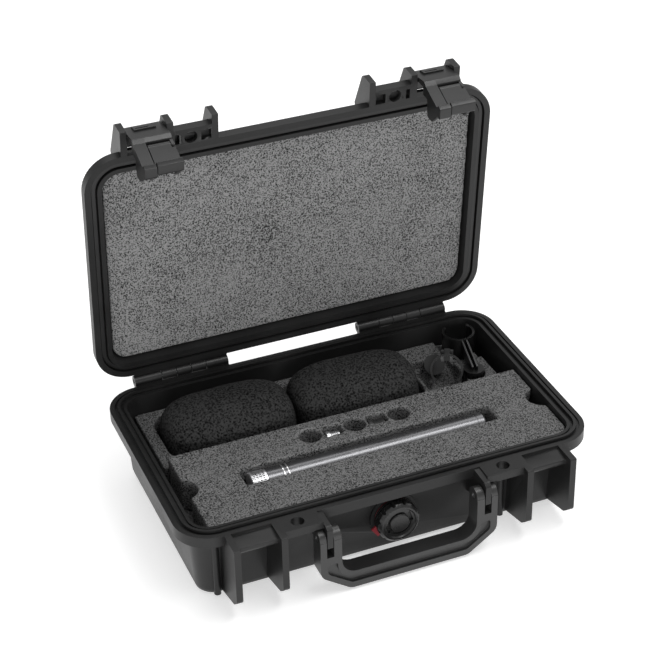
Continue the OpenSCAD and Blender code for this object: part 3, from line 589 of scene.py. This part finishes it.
def slot_tool(low, high):
    """The microphone's slot: straight sides over a round bottom, as a solid to cut with."""
    mid, deep = (low.y + high.y) / 2, (low.z + high.z) / 2 - MIC_SINK * MM
    half, above, bend = SLOT_HALF * MM, 30 * MM, -2 * MM
    bottom = [(half * math.cos(a), bend - half * math.sin(a))
              for a in [math.pi * i / 24 for i in range(25)]]
    outline = [(half, above)] + bottom + [(-half, above)]
    ends = (low.x - SLOT_PAST[0] * MM, high.x + SLOT_PAST[1] * MM)
    vertices = [(x, mid + y, deep + z) for x in ends for y, z in outline]
    n = len(outline)
    faces = [tuple(range(n)), tuple(range(2 * n - 1, n - 1, -1))]
    faces += [(i, i + n, (i + 1) % n + n, (i + 1) % n) for i in range(n)]
    return closed_body("slot", vertices, faces)


def foam_piece(node, voxel, uneven, cell):
    """Shows a foam block as soft foam; voxel, uneven and cell are sizes in millimetres."""
    o = merged_copy(node, node + "_cut_foam", join_faces=False)
    if node == "foam_tray":
        low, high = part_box("mic_grille")[0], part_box("mic_body")[1]
        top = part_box("foam_tray")[1].z
        fill_from = 34  # the filling starts at this height, below the floors of both slots
        filling = block("filling", (low.x / MM - 12, low.y / MM - 2, fill_from),
                        (high.x / MM + 15, high.y / MM + 2, top / MM))
        combined(o, filling, "UNION")
        combined(o, slot_tool(low, high), "DIFFERENCE")
    cells = o.modifiers.new("cells", "REMESH")
    cells.mode = "VOXEL"
    cells.voxel_size = voxel * MM
    soften = o.modifiers.new("soften", "SMOOTH")
    soften.factor = 0.5
    soften.iterations = 3
    mesh = evaluated_mesh(o)
    o.modifiers.clear()
    o.data = mesh
    slow, fine = 1 / (26 * MM), 1 / (1.5 * MM)
    inwards = 0.05
    push_out(mesh, [uneven * noise.noise(v.co * slow) + cell * noise.noise(v.co * fine) - inwards
                    for v in mesh.vertices])
    mesh.shade_smooth()
    mesh.materials.clear()
    mesh.materials.append(FINISH[node])
    stands_for(o, node)
    return o


for node in ("lid_pad", "foam_tray", "foam_base"):
    piece = foam_piece(node, voxel=1.25, uneven=0.16, cell=0.22)
    print(node, len(piece.data.polygons), "faces")

# %% [markdown]
# ## Windscreens
#
# A foam windscreen is a soft, blunt pillow of coarse black foam. When the case is open its top
# stands above the rim, and the closing lid presses it down. It is shaped here as a superellipsoid:
# blunt ends, a rounder back, and pores pressed into the surface.

# %% Windscreens
def windscreen(node, middle, half, end_power, round_power):
    """A pillow round middle, half as long, deep and high as half; higher powers are blunter."""
    bm = bmesh.new()
    bmesh.ops.create_icosphere(bm, subdivisions=7, radius=1.0)
    for v in bm.verts:
        x, y, z = (abs(c) / h for c, h in zip(v.co, half))
        ring = (y ** round_power + z ** round_power) ** (end_power / round_power)
        v.co = v.co * (x ** end_power + ring) ** (-1 / end_power) + Vector(middle)
    mesh = bpy.data.meshes.new(node + "_pillow")
    bm.to_mesh(mesh)
    bm.free()
    mesh.update()
    amount = []
    for v in mesh.vertices:
        near = noise.voronoi(v.co / (2.1 * MM))[0]
        wall = min(1.0, (near[1] - near[0]) * 1.6)
        amount.append(-0.55 * wall + 0.5 * noise.noise(v.co / (17 * MM)))
    push_out(mesh, amount)
    mesh.shade_smooth()
    mesh.materials.append(FINISH[node])
    o = linked(mesh.name, mesh)
    stands_for(o, node)
    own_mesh(o)
    return o


SCREEN_HALF = Vector((47.2, 28.8, 30.8)) * MM
for node in ("windscreen_left", "windscreen_right"):
    low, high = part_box(node)
    middle = ((low.x + high.x) / 2, (low.y + high.y) / 2, low.z + SCREEN_HALF.z)
    windscreen(node, middle, SCREEN_HALF, end_power=3.6, round_power=2.5)
    print(node, "middle", [round(c / MM, 1) for c in middle], "mm")

# %% [markdown]
# ## Repeated details
#
# The grille of the microphone is a cage of thin bars, and the adapters carry a screw thread. Both
# are one small piece repeated, so each is drawn once and repeated by a Geometry Nodes group. Its
# inputs say how many copies there are, how far each one moves along X and how far it turns about X.

# %% Geometry Nodes: repeat a piece along and around X
def repeat_group():
    """The node group that puts copies of a piece at equal steps along X and turns about X."""
    g = bpy.data.node_groups.new("repeat_on_x", "GeometryNodeTree")
    face = g.interface
    face.new_socket("Piece", in_out="INPUT", socket_type="NodeSocketGeometry")
    face.new_socket("Count", in_out="INPUT", socket_type="NodeSocketInt")
    face.new_socket("Step", in_out="INPUT", socket_type="NodeSocketFloat")
    face.new_socket("Turn", in_out="INPUT", socket_type="NodeSocketFloat")
    face.new_socket("Finish", in_out="INPUT", socket_type="NodeSocketMaterial")
    face.new_socket("Repeated", in_out="OUTPUT", socket_type="NodeSocketGeometry")
    given, result = g.nodes.new("NodeGroupInput"), g.nodes.new("NodeGroupOutput")
    points = g.nodes.new("GeometryNodePoints")
    index = g.nodes.new("GeometryNodeInputIndex")
    copies = g.nodes.new("GeometryNodeInstanceOnPoints")
    real = g.nodes.new("GeometryNodeRealizeInstances")
    paint = g.nodes.new("GeometryNodeSetMaterial")
    g.links.new(given.outputs["Count"], points.inputs["Count"])
    for label, socket in (("Step", points.inputs["Position"]), ("Turn", copies.inputs["Rotation"])):
        vector = g.nodes.new("ShaderNodeCombineXYZ")
        g.links.new(math_node(g, "MULTIPLY", index.outputs[0], given.outputs[label]),
                    vector.inputs["X"])
        g.links.new(vector.outputs[0], socket)
    g.links.new(points.outputs[0], copies.inputs["Points"])
    g.links.new(given.outputs["Piece"], copies.inputs["Instance"])
    g.links.new(copies.outputs[0], real.inputs[0])
    g.links.new(real.outputs[0], paint.inputs["Geometry"])
    g.links.new(given.outputs["Finish"], paint.inputs["Material"])
    g.links.new(paint.outputs[0], result.inputs[0])
    return g


REPEAT = repeat_group()
SOCKET = {item.name: item.identifier for item in REPEAT.interface.items_tree}


def repeated(o, count, step, turn, material):
    """The piece o repeated count times, as one plain mesh object that takes o's name."""
    m = o.modifiers.new("repeat", "NODES")
    m.node_group = REPEAT
    for label, value in (("Count", count), ("Step", step), ("Turn", turn), ("Finish", material)):
        m[SOCKET[label]] = value
    bpy.context.view_layer.update()
    mesh = evaluated_mesh(o)
    o.modifiers.clear()
    o.data = mesh
    return o


def lathe(name, outline, around=72):
    """A closed body turned about X from an outline of (x, radius) points in millimetres."""
    rings = [(x, r) for x, r in outline if r > 0]
    vertices, faces = [], []
    for x, r in rings:
        for k in range(around):
            a = 2 * math.pi * k / around
            vertices.append((x * MM, r * MM * math.cos(a), r * MM * math.sin(a)))
    loops = len(rings)
    closed = outline[0][1] > 0
    for i in range(loops if closed else loops - 1):
        for k in range(around):
            a, b = i * around, (i + 1) % loops * around
            n = (k + 1) % around
            faces.append((a + k, a + n, b + n, b + k))
    if not closed:
        faces.append(tuple(range(around - 1, -1, -1)))
        faces.append(tuple((loops - 1) * around + k for k in range(around)))
    o = closed_body(name, vertices, faces)
    smooth_shaded(o.data, sharp=32)
    return o


def joined(name, pieces):
    """Joins mesh objects into the first one."""
    with bpy.context.temp_override(active_object=pieces[0], selected_editable_objects=pieces):
        bpy.ops.object.join()
    pieces[0].name = pieces[0].data.name = name
    return pieces[0]


def finished(o, node, place, material=None):
    """Moves the mesh of o to its place and shows it instead of the node."""
    o.data.transform(Matrix.Translation(place))
    if material and material.name not in o.data.materials:
        o.data.materials.append(material)
    return stands_for(o, node)


# %% Microphone's grille
low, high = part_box("mic_grille")
nose = Vector((low.x, (low.y + high.y) / 2, (low.z + high.z) / 2 - MIC_SINK * MM))
radius = (high.y - low.y) / 2 / MM - 0.6  # the real barrel is a little thinner than its node
BAR_COUNT, HOOP_COUNT, HOOP_STEP = 40, 3, 2.3
# The core behind the bars is near black: painted shade for the inside of the grille.
painted_shade_core = plain_material("grille_painted_shade", (0.004, 0.004, 0.004), 0.6)
core = lathe("core", [(1.2, 0), (1.2, radius - 1.6), (11.9, radius - 1.6), (11.9, 0)])
core.data.materials.append(painted_shade_core)
bar = closed_body("bar", [(x * MM, side * half * MM, r * MM) for x in (1.0, 10.6)
                          for r, half in ((radius - 1.5, 0.30), (radius - 0.15, 0.34))
                          for side in (-1, 1)], BOX_FACES)
bars = repeated(bar, BAR_COUNT, 0.0, 2 * math.pi / BAR_COUNT, grille_steel)
hoop = lathe("hoop", [(3.4, radius - 1.2), (3.4, radius - 0.1), (3.9, radius - 0.1),
                      (3.9, radius - 1.2)])
hoops = repeated(hoop, HOOP_COUNT, HOOP_STEP * MM, 0.0, grille_steel)
cap = lathe("cap", [(0, 0), (0, radius - 3.2), (0.25, radius - 1.6), (0.9, radius - 0.5),
                    (1.9, radius), (2.3, radius), (2.3, radius - 1.4), (1.3, radius - 1.8), (1.3, 0)])
cap.data.materials.append(grille_steel)
collar = lathe("collar", [(10.2, radius - 1.4), (10.2, radius), (11.8, radius), (12, radius - 0.2),
                          (12, radius - 1.4)])
collar.data.materials.append(grille_steel)
finished(joined("mic_grille_cage", [cap, core, bars, hoops, collar]), "mic_grille", nose)
print("grille:", BAR_COUNT, "bars and", HOOP_COUNT, "hoops")

# %% Microphone's barrel, rings and connector
low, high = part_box("mic_body")
length = (high.x - low.x) / MM
barrel = lathe("mic_barrel", [
    (0, 0), (0, radius - 0.3), (0.2, radius), (10.8, radius), (10.9, radius - 0.4), (12.3, radius - 0.4),
    (12.4, radius), (14.0, radius), (14.1, radius - 0.4), (15.5, radius - 0.4), (15.6, radius),
    (length - 6, radius), (length - 5.8, radius - 0.25), (length - 5.4, radius - 0.25),
    (length - 5.2, radius), (length - 0.6, radius), (length, radius - 0.6), (length, radius - 1.6),
    (length - 14.6, radius - 1.6), (length - 14.6, 0)])
finished(barrel, "mic_body", Vector((low.x, nose.y, nose.z)), mic_black)
socket_end = merged_copy("mic_connector", "mic_connector_sunk", join_faces=False)
smooth_shaded(socket_end.data)
finished(socket_end, "mic_connector", Vector((0, 0, -MIC_SINK * MM)), connector_black)
low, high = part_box("mic_rings")
ring_wide = 1.2
ring = lathe("mic_bright_rings", [(0, radius - 0.6), (0, radius + 0.05), (0.3, radius + 0.2),
                                  (0.9, radius + 0.2), (ring_wide, radius + 0.05),
                                  (ring_wide, radius - 0.6)])
rings = repeated(ring, 2, high.x - low.x - ring_wide * MM, 0.0, ring_steel)
finished(rings, "mic_rings", Vector((low.x, nose.y, nose.z)))
print("microphone:", round(radius * 2, 1), "mm across")

# %% Thread adapters
ADAPTER_SINK = 3.0  # how far they sink into the foam below their place in the CAD model
THREAD_PITCH = 0.95
for node, finish in (("adapter_silver", silver_metal), ("adapter_black", black_metal)):
    low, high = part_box(node)
    flange = (high.y - low.y) / 2 / MM
    thread, long = flange - 0.8, (high.x - low.x) / MM
    tube = lathe(node + "_tube", [
        (0.3, thread - 1.5), (0, thread - 1.2), (0, flange - 0.3), (0.3, flange), (2.7, flange),
        (3.0, flange - 0.3), (3.0, thread - 0.35), (long - 0.4, thread - 0.35), (long, thread - 0.75),
        (long, thread - 1.2), (long - 0.3, thread - 1.5)])
    tube.data.materials.append(finish)
    turn = lathe("turn", [(3.4, thread - 0.5), (3.55, thread - 0.1), (3.75, thread),
                          (3.95, thread - 0.1), (4.1, thread - 0.5)])
    turns = repeated(turn, int((long - 4.2) / THREAD_PITCH), THREAD_PITCH * MM, 0.0, finish)
    middle = Vector((low.x, (low.y + high.y) / 2, (low.z + high.z) / 2 - ADAPTER_SINK * MM))
    finished(joined(node + "_threaded", [tube, turns]), node, middle)
    print(node, round(long, 1), "mm long")

# %% [markdown]
# ## Finish
#
# The last lines give smooth shading to the CAD nodes that are still shown.

# %% Smooth shading of the CAD nodes still shown
for node in FINISH:
    if not nodes[node].hide_render:
        smooth_shaded(nodes[node].data)
